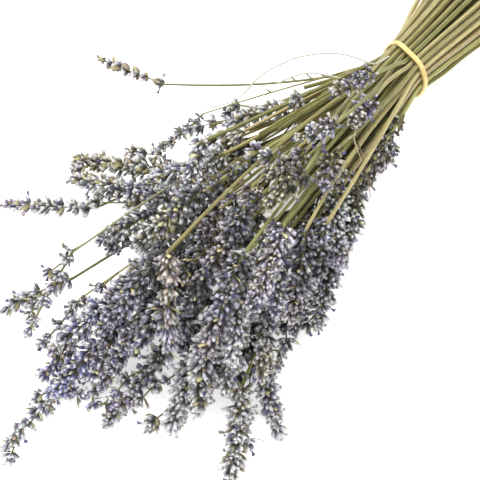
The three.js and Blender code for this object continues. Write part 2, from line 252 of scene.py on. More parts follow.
class Shape:
    # a modelled shape as arrays, with a pattern map: around it from 0 to 1, and along it from 0 at the
    # foot to 1 at the rim and more than 1 inside the mouth
    def __init__(self, piece, sides, stations, rim):
        mesh = piece.data
        self.points = np.array([v.co for v in mesh.vertices])
        rows = np.array([a.value for a in mesh.attributes["row"].data])
        places = np.array([a.value for a in mesh.attributes["side"].data])
        steps = [
            math.hypot(b[0] - a[0], (b[1] + b[2] - a[1] - a[2]) / 2)
            for a, b in zip(stations, stations[1:])
        ]
        runs = np.concatenate([[0], np.cumsum(np.maximum(steps, 0.02 * sum(steps)))])
        along = runs / runs[rim]
        edge = bakeCell["margin"]
        within = 1 - 2 * edge
        self.starts, self.totals, self.corners, self.middles = [], [], [], []
        maps, cells = [], []
        for face in mesh.polygons:
            self.starts.append(len(self.corners))
            self.totals.append(len(face.vertices))
            used = [places[v] for v in face.vertices]
            level = [rows[v] for v in face.vertices]
            cap = max(level) == min(level)
            for v in face.vertices:
                side = places[v]
                if not cap and max(used) - min(used) > sides / 2 and side < sides / 2:
                    side += sides
                if cap:
                    turn = math.tau * side / sides
                    corner = bakeCell["cap"] if rows[v] == 0 else 1 - bakeCell["cap"]
                    across = bakeCell["capRadius"]
                    cells.append((corner + across * math.cos(turn), corner + across * math.sin(turn)))
                    maps.append((0.5, along[rows[v]]))
                else:
                    run = runs[rows[v]] / runs[-1]
                    cells.append((edge + within * side / sides, edge + within * run))
                    maps.append((side / sides, along[rows[v]]))
                self.corners.append(v)
            self.middles.append(np.mean([runs[r] for r in level]) / runs[-1])
        self.starts, self.totals = np.array(self.starts), np.array(self.totals)
        self.corners = np.array(self.corners)
        self.maps, self.cells = np.array(maps), np.array(cells)
        self.middles = np.array(self.middles)
        bpy.data.objects.remove(piece)


class Gathering:
    # copies of shapes brought together as one mesh
    def __init__(self):
        self.parts = []

    def add(self, shape, points, material, tint, tipTint=None, strips=0):
        self.parts.append((shape, points, material, tint, tint if tipTint is None else tipTint, strips))

    def weave(self, name, materials):
        strips = sum(part[5] for part in self.parts)
        cells = sum(1 for part in self.parts if not part[5])
        across = max(strips, 1)
        while across * (across - strips) < cells:
            across += 1
        mesh = bpy.data.meshes.new(name)
        points, corners, starts, totals, slots = [], [], [], [], []
        maps, bakes, tints, tips = [], [], [], []
        base = loop = cell = strip = 0
        for shape, places, material, tint, tipTint, rows in self.parts:
            points.append(places)
            corners.append(shape.corners + base)
            starts.append(shape.starts + loop)
            totals.append(shape.totals)
            slots.append(np.full(len(shape.starts), material))
            maps.append(shape.maps)
            if rows:
                share = np.minimum((shape.middles * rows).astype(int), rows - 1)
                share = np.repeat(share, shape.totals)
                run = np.clip(shape.cells[:, 1] * rows - share, 0, 1)
                laid = np.stack([run, strip + share + shape.cells[:, 0]], axis=1)
                laid[:, 1] /= across
                strip += rows
            else:
                row, column = divmod(cell, across)
                laid = (shape.cells + (column, row + strips)) / across
                cell += 1
            bakes.append(laid)
            tints.append(np.tile(np.append(tint, 1), (len(places), 1)))
            tips.append(np.tile(np.append(tipTint, 1), (len(places), 1)))
            base += len(places)
            loop += len(shape.corners)
        points = np.vstack(points) * mm
        corners, starts = np.concatenate(corners), np.concatenate(starts)
        mesh.vertices.add(len(points))
        mesh.vertices.foreach_set("co", points.ravel())
        mesh.loops.add(len(corners))
        mesh.loops.foreach_set("vertex_index", corners.astype(np.int32))
        mesh.polygons.add(len(starts))
        mesh.polygons.foreach_set("loop_start", starts.astype(np.int32))
        mesh.polygons.foreach_set("material_index", np.concatenate(slots).astype(np.int32))
        mesh.polygons.foreach_set("use_smooth", np.ones(len(starts), bool))
        mesh.update(calc_edges=True)
        for layer, values in (("Along", maps), ("OFBake", bakes)):
            made = mesh.uv_layers.new(name=layer)
            made.data.foreach_set("uv", np.vstack(values).astype(np.float32).ravel())
        mesh.uv_layers["Along"].active = True
        mesh.uv_layers["Along"].active_render = True
        for layer, values in (("tint", tints), ("tipTint", tips)):
            made = mesh.attributes.new(layer, "FLOAT_COLOR", "POINT")
            made.data.foreach_set("color", np.vstack(values).astype(np.float32).ravel())
        for material in materials:
            mesh.materials.append(material)
        mesh.validate()
        piece = bpy.data.objects.new(name, mesh)
        bpy.context.scene.collection.objects.link(piece)
        return piece


def aboveFloor(points):
    # presses together what would reach into the floor
    gap = bunch["floorGap"]
    points = points.copy()
    low = points[:, 2] < gap
    points[low, 2] = gap + (points[low, 2] - gap) * bunch["pressed"]
    points[:, 2] = np.maximum(points[:, 2], bunch["lowest"])
    return points


def laidAlong(shape, path, widths, places=None, turn=0.0, end=None):
    # bends a shape that is 1 long along a path; widths are its half widths at places on the path
    spans = (path.length if end is None else end) * shape.points[:, 2]
    places = np.linspace(0, path.length, len(widths)) if places is None else places
    width = np.interp(spans, places, widths)[:, None]
    at, _, side, up = path.at(spans)
    x = shape.points[:, 0] * math.cos(turn) - shape.points[:, 1] * math.sin(turn)
    y = shape.points[:, 0] * math.sin(turn) + shape.points[:, 1] * math.cos(turn)
    return aboveFloor(at + side * x[:, None] * width + up * y[:, None] * width)


def placed(shape, root, ahead, outward, length, width):
    # stands a shape that is 1 long on a root, its local x facing outward
    ahead = unit(ahead)
    across = unit(np.cross(ahead, outward))
    face = np.cross(across, ahead)
    p = shape.points
    return aboveFloor(
        root + p[:, 2:3] * ahead * length + p[:, 0:1] * face * width + p[:, 1:2] * across * width
    )


class Wire:
    # a value or colour in a material, so that shader maths reads as an expression
    def __init__(self, finish, socket):
        self.finish, self.socket = finish, socket

    def maths(self, operation, other, turned=False):
        pair = (other, self) if turned else (self, other)
        return self.finish.node("ShaderNodeMath", {"operation": operation}, {0: pair[0], 1: pair[1]})

    def __add__(self, other): return self.maths("ADD", other)
    def __sub__(self, other): return self.maths("SUBTRACT", other)
    def __rsub__(self, other): return self.maths("SUBTRACT", other, True)
    def __mul__(self, other): return self.maths("MULTIPLY", other)

    def cos(self):
        return self.finish.node("ShaderNodeMath", {"operation": "COSINE"}, {0: self})

    def wave(self, count):
        # goes from 0 to 1 and back that many times on the way from 0 to 1
        return (self * (math.tau * count)).cos() * 0.5 + 0.5

    def ramp(self, low, high, start=0.0, end=1.0):
        # smooth step from start at low to end at high
        return self.finish.node(
            "ShaderNodeMapRange",
            {"interpolation_type": "SMOOTHSTEP"},
            {0: self, 1: low, 2: high, 3: start, 4: end},
        )


class Finish:
    # one material and the nodes in it
    def __init__(self, name, **constants):
        self.material = bpy.data.materials.new(name)
        self.material.use_nodes = True
        self.tree = self.material.node_tree
        self.shader = self.tree.nodes["Principled BSDF"]
        for socket, value in constants.items():
            self.shader.inputs[socket.replace("_", " ")].default_value = value

    def node(self, kind, settings, sockets, output=0):
        made = self.tree.nodes.new(kind)
        for name, value in settings.items():
            setattr(made, name, value)
        for key, value in sockets.items():
            self.join(made.inputs[key], value)
        return Wire(self, made.outputs[output])

    def join(self, socket, value):
        if isinstance(value, Wire):
            self.tree.links.new(value.socket, socket)
        elif hasattr(socket.default_value, "__len__") and len(socket.default_value) == 4:
            socket.default_value = (*value, 1)
        else:
            socket.default_value = value

    def set(self, **values):
        for socket, value in values.items():
            self.join(self.shader.inputs[socket.replace("_", " ")], value)

    def attribute(self, name):
        return self.node("ShaderNodeAttribute", {"attribute_name": name}, {})

    def map(self):
        # around and along the shape
        made = self.node("ShaderNodeUVMap", {"uv_map": "Along"}, {})
        parts = self.node("ShaderNodeSeparateXYZ", {}, {0: made})
        return parts, Wire(self, parts.socket.node.outputs[1])

    def place(self):
        return self.node("ShaderNodeTexCoord", {}, {}, 3)

    def noise(self, scale, detail=2.0, rough=0.5, place=None):
        return self.node(
            "ShaderNodeTexNoise",
            {},
            {"Vector": place or self.place(), "Scale": scale, "Detail": detail, "Roughness": rough},
        )

    def blend(self, first, second, amount):
        return self.node("ShaderNodeMix", {"data_type": "RGBA"}, {0: amount, 6: first, 7: second}, 2)

    def bump(self, height, strength, distance):
        sockets = {"Height": height, "Strength": strength, "Distance": distance}
        return self.node("ShaderNodeBump", {}, sockets)


calyxLook = {
    # root: the calyx's own olive foot, made darker still as painted shade in the gaps between the calyxes
    "root": fromHex("3a3b24"),
    # groove: painted shade, dark in the grooves between the ribs and inside open mouths
    "groove": fromHex("282a2f"),
    "fleck": fromHex("f4f1f6"),
    "ribs": 9,
    "grain": 1500.0,
    "hair": 5200.0,
    "bump": 0.0003,
}


def calyxFinish():
    look = calyxLook
    finish = Finish(
        "driedCalyx", Roughness=0.8, Sheen_Weight=0.3, Sheen_Roughness=0.45, Specular_IOR_Level=0.25
    )
    around, along = finish.map()
    ribs = around.wave(look["ribs"])
    grain = finish.noise(look["grain"])
    hair = finish.noise(look["hair"], 3.0)
    wander = along + (grain - 0.5) * 0.4
    # towards the foot the colour goes to the root colour: its own olive base plus painted shade between
    # the calyxes
    body = finish.blend(finish.attribute("tint"), look["root"], along.ramp(0.5, 0.12, 0.0, 0.95))
    tipped = finish.blend(body, finish.attribute("tipTint"), wander.ramp(0.42, 0.78))
    # painted shade in the grooves between the ribs, deeper towards the foot
    shadedGrooves = finish.blend(tipped, look["groove"], (1 - ribs) * along.ramp(0.95, 0.5, 0.1, 0.7))
    haired = finish.blend(shadedGrooves, look["fleck"], hair.ramp(0.6, 0.8, 0.0, 0.4) * along.ramp(0.2, 0.7))
    # painted shade inside the mouth: past the rim the colour goes dark
    finish.set(Base_Color=finish.blend(haired, look["groove"], along.ramp(1.04, 1.2, 0.0, 0.6)))
    finish.set(Normal=finish.bump(ribs * 0.7 + hair * 0.3, 0.75, look["bump"]))
    return finish.material


petalLook = {
    "withered": fromHex("5b4a3d"),
    "vein": fromHex("1d1a33"),
    "veins": 10,
    "wither": 900.0,
    "bump": 0.0004,
}


def petalFinish():
    look = petalLook
    finish = Finish("driedPetal", Roughness=0.75, Sheen_Weight=0.2, Specular_IOR_Level=0.3)
    around, along = finish.map()
    veins = around.wave(look["veins"])
    wither = finish.noise(look["wither"], 3.0, 0.6)
    colour = finish.blend(finish.attribute("tint"), finish.attribute("tipTint"), along.ramp(0.3, 1.0))
    colour = finish.blend(colour, look["withered"], wither.ramp(0.55, 0.75, 0.0, 0.5))
    finish.set(Base_Color=finish.blend(colour, look["vein"], (1 - veins) * 0.35))
    finish.set(Normal=finish.bump(veins * 0.5 + wither, 0.8, look["bump"]))
    return finish.material


bractLook = {
    "blotch": fromHex("3d2c1c"),
    "vein": fromHex("f0e2c4"),
    "veins": 14,
    "blotches": 700.0,
    "bump": 0.0003,
}


def bractFinish():
    look = bractLook
    finish = Finish("dryBract", Roughness=0.8, Specular_IOR_Level=0.25)
    around, along = finish.map()
    veins = around.wave(look["veins"])
    blotch = finish.noise(look["blotches"], 3.0, 0.6)
    colour = finish.blend(finish.attribute("tint"), finish.attribute("tipTint"), along.ramp(0.2, 0.95))
    colour = finish.blend(colour, look["blotch"], blotch.ramp(0.52, 0.75, 0.0, 0.55))
    finish.set(Base_Color=finish.blend(colour, look["vein"], veins.ramp(0.7, 1.0, 0.0, 0.3)))
    finish.set(Normal=finish.bump(veins + blotch * 0.5, 0.6, look["bump"]))
    return finish.material


stemLook = {
    # groove: painted shade on the faces between the corners, and also the colour of the stem's own dark
    # streaks
    "groove": fromHex("4a4720"),
    # a painted highlight along the corner ridges of a stem
    "ridgeHighlight": fromHex("f0e8a8"),
    "scar": fromHex("7c6a34"),
    "corners": 4,
    "lines": 16,
    "streaks": (9.0, 34.0),  # how fast the streaks change around and along a stem
    "patches": 60.0,
    "grain": 1500.0,
    "bump": 0.0004,
}


def stemFinish():
    look = stemLook
    finish = Finish("dryStem", Roughness=0.6, Sheen_Weight=0.1, Specular_IOR_Level=0.35)
    around, along = finish.map()
    corners = around.wave(look["corners"])
    lines = around.wave(look["lines"])
    across, down = look["streaks"]
    streakPlace = finish.node(
        "ShaderNodeCombineXYZ", {}, {0: around * across, 1: along * down, 2: finish.attribute("tint")}
    )
    streaks = finish.noise(1.0, 3.0, 0.6, streakPlace)
    patches = finish.noise(look["patches"], 3.0, 0.55)
    grain = finish.noise(look["grain"])
    colour = finish.blend(finish.attribute("tint"), finish.attribute("tipTint"), along.ramp(0.25, 0.95))
    colour = finish.blend(colour, look["scar"], patches.ramp(0.6, 0.76, 0.0, 0.45))
    # painted shade on the faces between the corners
    colour = finish.blend(colour, look["groove"], (1 - corners).ramp(0.5, 1.0, 0.0, 0.28))
    # painted highlight on the corners, broken up by the streaks
    colour = finish.blend(colour, look["ridgeHighlight"], (corners + (streaks - 0.5)).ramp(0.8, 1.15, 0.0, 0.3))
    finish.set(Base_Color=finish.blend(colour, look["groove"], streaks.ramp(0.48, 0.28, 0.0, 0.55)))
    height = corners * 0.4 + lines * 0.25 + streaks * 0.4 + grain * 0.1
    finish.set(Normal=finish.bump(height, 0.7, look["bump"]))
    return finish.material


bandLook = {
    "pale": fromHex("e0c988"),
    "deep": fromHex("cdae62"),
    "dust": fromHex("efe2b6"),
    "specks": 500.0,
    "mottle": 120.0,
    "bump": 0.0002,
}


def bandFinish():
    look = bandLook
    finish = Finish("paleRubber", Roughness=0.48)
    around, along = finish.map()
    dust = finish.noise(look["specks"], 3.0)
    mottle = finish.noise(look["mottle"], 2.0)
    colour = finish.blend(look["pale"], look["deep"], mottle.ramp(0.4, 0.7))
    finish.set(Base_Color=finish.blend(colour, look["dust"], dust.ramp(0.5, 0.8, 0.0, 0.35)))
    finish.set(Roughness=dust.ramp(0.3, 0.7, 0.4, 0.62))
    finish.set(Normal=finish.bump(dust + (around * (math.tau * 3)).cos() * 0.4, 0.25, look["bump"]))
    return finish.material


calyxStations = [
    # height, half widths and shift; the last ring goes down inside the mouth
    (0.0, 0.3, 0.3, 0.0),
    (0.3, 0.76, 0.76, 0.04),
    (0.72, 0.92, 0.92, 0.04),
    (1.0, 1.06, 1.06, -0.05),
    (0.74, 0.5, 0.5, 0.0),
]
budStations = [
    (0.0, 0.3, 0.3, 0.0),
    (0.28, 0.72, 0.72, 0.05),
    (0.64, 1.0, 1.0, 0.08),
    (0.89, 0.66, 0.66, 0.0),
    (1.0, 0.14, 0.14, -0.1),
]
petalStations = [
    (0.0, 0.3, 0.3, 0.0),
    (0.4, 0.42, 0.36, 0.05),
    (1.0, 1.0, 0.7, 0.3),
    (0.9, 0.8, 0.55, 0.28),
    (0.45, 0.25, 0.2, 0.08),
]
bractStations = [
    (0.0, 0.05, 0.2, 0.0),
    (0.25, 0.06, 0.75, 0.08),
    (0.55, 0.06, 0.85, 0.14),
    (0.82, 0.05, 0.4, 0.1),
    (1.0, 0.02, 0.05, 0.0),
]
leafStations = [
    (0.0, 0.16, 0.3, 0.0),
    (0.12, 0.16, 0.6, 0.0),
    (0.3, 0.14, 0.95, 0.1),
    (0.48, 0.14, 1.0, 0.16),
    (0.66, 0.13, 0.9, 0.1),
    (0.82, 0.12, 0.62, 0.0),
    (0.94, 0.1, 0.3, -0.1),
    (1.0, 0.05, 0.06, -0.14),
]


def makeShape(name, sides, stations, rim, teeth=0.0):
    piece = modelTube(name, sides, stations)
    if teeth:
        moveRing(piece, rim, lambda side: side % 2 == 0, (0, 0, teeth))
        moveRing(piece, rim, lambda side: side % 2 == 1, (0, 0, -teeth * 0.4))
    return Shape(piece, sides, stations, rim)


def modelStem(name, sides, rings):
    # a squarish stem 1 long, its corners a little proud
    stations = [(i / rings, 1.0, 1.0, 0.0) for i in range(rings + 1)]
    piece = modelTube(name, sides, stations)
    for vertex in piece.data.vertices:
        turn = math.atan2(vertex.co.y, vertex.co.x)
        square = 1 + 0.11 * math.cos(4 * turn)
        vertex.co.x *= square
        vertex.co.y *= square
    return Shape(piece, sides, stations, rings)


print("modelling the shapes that repeat")
openCalyx = makeShape("openCalyx", 7, calyxStations, 3, 0.05)
budCalyx = makeShape("budCalyx", 7, budStations, 4)
petal = makeShape("petal", 8, petalStations, 2, 0.16)
bract = makeShape("bract", 6, bractStations, 4)
leafShape = makeShape("leaf", 6, leafStations, 7)
stemShape = modelStem("stem", 12, 44)
rachisShape = modelStem("rachis", 8, 16)
fibreShape = modelStem("fibre", 6, 40)

print("mixing the finishes")
calyxMaterial = calyxFinish()
petalMaterial = petalFinish()
bractMaterial = bractFinish()
stemMaterial = stemFinish()
bandMaterial = bandFinish()

stemSizes = {
    "cut": 1.16,  # half width at the cut end and under the band
    "top": 0.66,  # half width under the spike
    "uneven": 0.14,
    "taper": (8, 30),  # how far past the band a stem begins and ends to thin
    "waisted": 4 / 3,  # half width where it has thinned, in shares of the top's
    "past": 1.5,  # how far a stem goes on into its spike
    "smoothing": (2, 5),  # passes that even out a stem, and those of the top layer
    "shades": (0.96, 0.7),  # how light the stems are, and those of the layers above topLayers
    "topLayers": 5,
    "thin": {
        "spike_01": 0.5,
        "spike_02": 0.55,
        "spike_03": 0.36,
        "spike_04": 0.5,
        "spike_08": 0.4,
        "spike_14": 0.42,
        "spike_22": 0.28,
    },
    "green": {"spike_02": "6f7040", "spike_08": "9a9a76", "spike_14": "7f8656", "spike_12": "8d9048"},
    "sagging": {"spike_14": (1.2, -1.2, -3.0)},  # how far a stem hangs midway
}
stemTones = [
    # tone at the cut end, tone near the head, and how common it is
    ("bfb26e", "b8ad6f", 5),
    ("d1c287", "c7ba80", 3),
    ("989352", "9da15e", 5),
    ("afa366", "a5a165", 4),
    ("8b863f", "8d8e4c", 3),
    ("a39168", "a4946a", 2),
    ("8c7566", "8b7b64", 1),
]


def stemPath(rings, index, name):
    # the line of a stem, evened out on its head side
    first = int(np.argmax(rings[:, 1] < bunch["headSide"]))
    top = index == bunch["layers"] - 1
    for _ in range(stemSizes["smoothing"][top]):
        middle = (rings[first:-2] + rings[first + 2 :]) / 2
        rings[first + 1 : -1] = rings[first + 1 : -1] * 0.5 + middle * 0.5
    if name in stemSizes["sagging"]:
        head = rings[-1]
        share = np.clip((rings[:, 1] - head[1]) / (bunch["headSide"] - head[1]), 0, 1)
        rings = rings + np.outer(np.sin(share * math.pi), stemSizes["sagging"][name])
    return Path(rings)


print("laying the stems")
layers = [stemsOf(f"stems_layer_{i + 1}") for i in range(bunch["layers"])]
spikeNames = sorted(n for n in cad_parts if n.startswith("spike_"))
spikePoints = {name: solidOf(name)[0] for name in spikeNames}
feet = {}  # the head, the path and the layer of each spike's stem
stemPieces = []
chance = np.random.default_rng(bunch["seed"])
weights = np.array([tone[2] for tone in stemTones], float)
for index, stems in enumerate(layers):
    gathering = Gathering()
    for rings in stems:
        head = rings[-1].copy()
        name = min(
            (n for n in spikeNames if n not in feet),
            key=lambda n: np.linalg.norm(spikePoints[n] - head, axis=1).min(),
        )
        path = stemPath(rings, index, name)
        feet[name] = (head, path, index)
        top = stemSizes["thin"].get(name, stemSizes["top"])
        wide = stemSizes["cut"] * (1 + chance.uniform(-1, 1) * stemSizes["uneven"])
        foot, tip, _ = stemTones[chance.choice(len(stemTones), p=weights / weights.sum())]
        tip = stemSizes["green"].get(name, tip)
        shade = stemSizes["shades"][index >= stemSizes["topLayers"]] + chance.uniform(-0.2, 0.2)
        thins, thinned = (path.waist() + far for far in stemSizes["taper"])
        laid = laidAlong(
            stemShape,
            path,
            [wide, wide, top * stemSizes["waisted"], top],
            [0, thins, thinned, path.length],
            chance.uniform(0, math.tau),
            path.length + stemSizes["past"],
        )
        gathering.add(stemShape, laid, 0, fromHex(foot) * shade, fromHex(tip) * shade, strips=2)
    piece = gathering.weave(f"stemLayer{index + 1}", [stemMaterial])
    stemPieces.append(piece)
    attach(piece, "root")
    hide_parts(f"stems_layer_{index + 1}")
print("stems", sum(len(s) for s in layers), "spikes matched", len(feet))

spikeKinds = {
    # a ring of a whorl is how many calyxes, their lean, how far out and ahead they are rooted, and size
    "dense": {
        "pitch": 3.25,
        "rings": [(9, 68, 1.7, 0.0, 1.0), (7, 44, 1.1, 1.1, 1.0), (4, 20, 0.6, 2.0, 0.95)],
        "length": 4.2,
        "width": 0.77,
        "stray": 13,
        "petals": 0.05,
        "onward": 4.0,
    },
    "airy": {
        "pitch": 4.4,
        "rings": [(9, 64, 1.4, 0.0, 1.0), (6, 40, 0.9, 1.0, 1.0), (3, 16, 0.5, 1.8, 0.9)],
        "length": 4.3,
        "width": 0.76,
        "stray": 13,
        "petals": 0.08,
        "onward": 2.0,
    },
    "loose": {
        "pitch": 5.6,
        "rings": [(11, 40, 1.2, 0.0, 1.0), (9, 25, 1.0, 1.2, 1.0), (6, 10, 0.8, -0.8, 0.95)],
        "length": 5.0,
        "width": 0.68,
        "stray": 8,
        "petals": 0.04,
        "onward": 2.0,
    },
    "open": {
        "pitch": 5.8,
        "rings": [(8, 60, 0.7, 0.0, 1.0), (5, 32, 0.4, 0.8, 1.0), (2, 8, 0.3, 1.2, 0.9)],
        "length": 4.7,
        "width": 0.76,
        "stray": 12,
        "petals": 0.06,
        "onward": 3.0,
    },
}
plainSpike = {
    "scale": 1.0,  # of its calyxes
    "paler": 1.0,  # how much lighter its calyxes are, set spike by spike: partly its own tone and partly painted light and shade
    "nudge": (0, 0, 0),  # how far its tip is beside its node's tip
}
tones = {
    # body and tip of a calyx
    "slate": ("636484", "e0e1f1"),
    "lilac": ("807799", "ece6f8"),
    "violet": ("675c94", "d3cbee"),
    "blue": ("6b70b0", "cfd2f6"),
    "silver": ("8c8f9d", "f5f5fb"),
    "sage": ("797d70", "eaece7"),
    "straw": ("948a6c", "f6f0e3"),
    "blush": ("a08983", "fcf0e8"),
    "mauve": ("5b4c55", "ddd3d8"),
    # these two darkest tones are painted shade: the spikes and sprigs that wear them lie in shadow
    "shade": ("313038", "a2a2ac"),
    "murk": ("262523", "827f7a"),
    "olive": ("565637", "e0debf"),
    "pearl": ("a4a5b3", "f9f9fd"),
}
spikes = {
    # by number: its kind, the tones of its calyxes from foot to tip, and what sets it apart
    1: ("open", "silver sage silver lilac", {"scale": 0.98, "paler": 1.15}),
    2: ("open", "pearl silver pearl", {"paler": 1.45}),
    3: ("open", "silver lilac", {"scale": 0.8, "paler": 1.7}),
    4: ("open", "silver lilac silver", {"scale": 0.86, "paler": 1.5, "onward": 1.5}),
    5: ("dense", "sage lilac lilac pearl", {"paler": 1.4, "petals": 0.08}),
    6: ("dense", "pearl pearl lilac pearl", {"paler": 1.6, "onward": 0.5}),
    7: ("dense", "olive sage straw straw", {}),
    8: ("open", "pearl lilac", {"scale": 0.78, "paler": 1.55}),
    9: ("dense", "lilac lilac straw pearl", {"scale": 0.94, "paler": 1.35, "onward": 0}),
    10: ("dense", "lilac violet blue blue", {"paler": 1.35, "petals": 0.2}),
    11: ("dense", "pearl", {"scale": 1.2, "paler": 1.55, "onward": 0.5, "nudge": (1.7, 1.7, 0)}),
    12: ("dense", "straw pearl pearl straw pearl", {"paler": 1.5, "far": 0, "nudge": (1.6, 1.6, 0)}),
    13: ("dense", "murk shade mauve silver", {"paler": 1.6, "onward": 0.5, "far": 8}),
    14: ("open", "silver blush lilac silver", {"scale": 0.62, "paler": 1.6}),
    15: ("dense", "shade sage silver", {"paler": 1.3, "onward": -2}),
    16: ("dense", "slate lilac blue lilac", {"paler": 1.25, "onward": -2, "petals": 0.1}),
    17: ("dense", "slate lilac lilac", {"paler": 1.1}),
    18: ("dense", "silver pearl sage", {"scale": 1.15, "paler": 1.45}),
    19: ("dense", "silver straw silver", {}),
    20: ("dense", "shade silver straw", {"paler": 1.15, "onward": -1.5}),
    21: ("dense", "murk", {"paler": 0.6, "onward": 0.5, "far": 8}),
    22: ("open", "pearl silver pearl", {"scale": 0.72, "paler": 1.7}),
    23: ("dense", "silver straw pearl", {"scale": 0.86, "paler": 1.7}),
    24: ("dense", "pearl pearl silver", {"paler": 1.7}),
    25: ("dense", "murk slate slate", {"paler": 0.82, "onward": 0.5}),
    26: ("dense", "slate mauve silver", {"paler": 1.7}),
    27: ("dense", "murk shade slate", {"onward": 1}),
    28: ("dense", "pearl silver straw pearl", {"paler": 1.5, "onward": 0}),
    29: ("dense", "shade sage shade", {"paler": 1.5, "onward": -5}),
    30: ("dense", "murk olive shade sage", {"paler": 1.4, "far": 6}),
    31: ("loose", "straw straw violet", {"paler": 1.7}),
    32: ("dense", "sage pearl pearl", {"paler": 1.35, "far": 0}),
    33: ("dense", "shade olive sage", {"onward": -2}),
    34: ("dense", "mauve slate mauve", {}),
    35: ("dense", "shade mauve shade", {"paler": 0.88}),
    36: ("dense", "pearl lilac pearl", {"paler": 1.35}),
    37: ("dense", "shade shade shade mauve", {"onward": 0.5}),
    38: ("dense", "sage silver lilac", {"far": 2}),
    39: ("dense", "pearl pearl straw", {"scale": 0.86, "paler": 1.45, "far": 0}),
    40: ("loose", "blush straw blush lilac silver", {"scale": 0.9, "paler": 0.9, "onward": 0.5}),
    41: ("dense", "blush olive", {}),
    42: ("dense", "shade slate mauve", {"paler": 0.82}),
    43: ("dense", "lilac blush lilac", {"paler": 1.1}),
    44: ("dense", "lilac silver lilac", {"paler": 1.25}),
    45: ("airy", "slate shade shade", {"paler": 0.86}),
    46: ("airy", "mauve olive", {}),
    47: ("airy", "murk olive olive", {}),
    48: ("airy", "lilac silver straw", {"petals": 0.14}),
    49: ("airy", "slate lilac straw", {}),
    50: ("airy", "lilac violet straw", {"petals": 0.1}),
    51: ("airy", "olive mauve lilac", {"paler": 0.78}),
}
whorlsAt = {
    # where the whorls of the open spikes sit, as shares of their length
    1: (0.05, 0.19, 0.34, 0.48, 0.61, 0.73, 0.84, 0.93),
    2: (0.04, 0.17, 0.47, 0.62, 0.78, 0.92),
    3: (0.06, 0.22, 0.5, 0.78, 0.93),
    4: (0.04, 0.2, 0.37, 0.5, 0.63, 0.76, 0.87, 0.95),
    8: (0.03, 0.22, 0.4, 0.55, 0.8, 0.93),
    14: (0.02, 0.25, 0.38, 0.52, 0.66, 0.8, 0.94),
    22: (0.08, 0.3, 0.48, 0.68, 0.86, 0.95),
}
farWhorls = {
    # whorls that sit on a stem below its spike: how likely, at most how many, and how far apart
    "share": 0.85,
    "most": 4,
    "gap": (5.5, 9),
    "layers": 5,
    "full": (0.75, 0.95),
}
strayTones = ["slate", "lilac", "silver", "straw", "mauve", "shade", "olive", "sage"]
petalTones = [("55547f", "8886b4"), ("64597f", "a19ac0"), ("6c5f70", "a89fae"), ("857363", "c2b19a")]
bractTones = [("6f6a3c", "bdb67a"), ("5c5233", "9c8f5c"), ("8b8a50", "dcd79c"), ("5e5244", "a3917c")]
whorlRule = {
    "missing": 0.06,  # share of the calyxes that have dropped off
    "open": 0.34,  # share of the calyxes whose mouth is open
    "strays": 0.14,  # share of the calyxes of another tone
    "sizes": 0.12,
    "shades": 0.3,
    "palest": 0.96,
    "lean": ([0, 0.12, 0.8, 1], [1.12, 1.0, 0.85, 0.5]),  # from foot to tip of a spike
    "petalsFrom": 30,  # only calyxes that lean out more than this hold a dried corolla
    "petal": (2.0, 0.9),
    "bract": (4.8, 0.36),
}
rachisTone = fromHex("7f7c4c")
spikeRule = {
    "full": ([0, 0.15, 0.7, 1], [0.88, 1.0, 0.95, 0.72]),  # how full the whorls are from foot to tip
    "first": 1.0,  # how far the first whorl is from the foot
    "last": 3.4,  # how far the last whorl is from the tip
    "openEnd": 0.8,  # how much nearer to the tip that is on an open spike
    "onward": 5,  # a spike's axis is drawn on this far, and then cut
    "uneven": 0.9,
    "rachis": (0.7, 0.3),  # half width at the foot and at the tip
}


def aimed(aim, root, length):
    # keeps what points at the floor from reaching it
    lowest = (1.0 - root[2]) / length
    if aim[2] >= lowest:
        return aim
    return unit(np.array([aim[0], aim[1], lowest]))


def turned(side, up, turn):
    return side * math.cos(turn) + up * math.sin(turn)


def picked(seed, choices):
    return choices[seed.integers(len(choices))]


def addCalyx(gathering, seed, kind, place, ring, run, droop):
    # one calyx of a whorl, in some with a dried corolla in its mouth
    at, ahead, out, share, full = place
    lean, outward, lift, size = ring
    rule, scale, pale = whorlRule, kind["scale"], kind["paler"]
    slack = seed.normal(0, 1, 3)
    tilt = math.radians(lean * np.interp(share, *rule["lean"]) + droop + slack[0] * kind["stray"])
    aim = ahead * math.cos(tilt) + out * math.sin(tilt) + np.cross(ahead, out) * slack[1] * 0.2
    root = at + out * outward * full * scale + ahead * (lift + slack[2] * 0.45)
    length = kind["length"] * size * full * scale * (1 + seed.normal(0, rule["sizes"]))
    width = kind["width"] * (0.5 + 0.5 * full) * scale**0.5 * (1 + seed.normal(0, rule["sizes"]))
    aim = aimed(aim, root, length)
    pick = int(np.clip(share * len(run) + seed.normal(0, 0.4), 0, len(run) - 1))
    body, tip = tones[picked(seed, strayTones) if seed.random() < rule["strays"] else run[pick]]
    shade = np.clip(1 + seed.normal(0, rule["shades"]), 0.35, 1.7)
    shape = openCalyx if seed.random() < rule["open"] else budCalyx
    tipTint = np.minimum(fromHex(tip) * (0.55 + 0.45 * shade) * pale, rule["palest"])
    laid = placed(shape, root, aim, out, length, width)
    gathering.add(shape, laid, 0, fromHex(body) * shade * pale, tipTint)
    if lean > rule["petalsFrom"] and seed.random() < kind["petals"]:
        inner, outer = picked(seed, petalTones)
        laid = placed(petal, root + aim * length * 0.84, aim + out * 0.25, out, *rule["petal"])
        gathering.add(petal, laid, 1, fromHex(inner), fromHex(outer))


def addBract(gathering, seed, at, ahead, out, full):
    # a bract that would be pressed to the floor is left out
    inner, outer = picked(seed, bractTones)
    longest, slim = whorlRule["bract"]
    root = at + out * 0.6 - ahead * 0.5
    length = longest * full * (1 + seed.normal(0, 0.15))
    aim = aimed(ahead * 0.5 + out * 0.87, root, length)
    laid = placed(bract, root, aim, out, length, length * slim)
    if laid[:, 2].min() >= bunch["floorGap"]:
        gathering.add(bract, laid, 2, fromHex(inner), fromHex(outer))


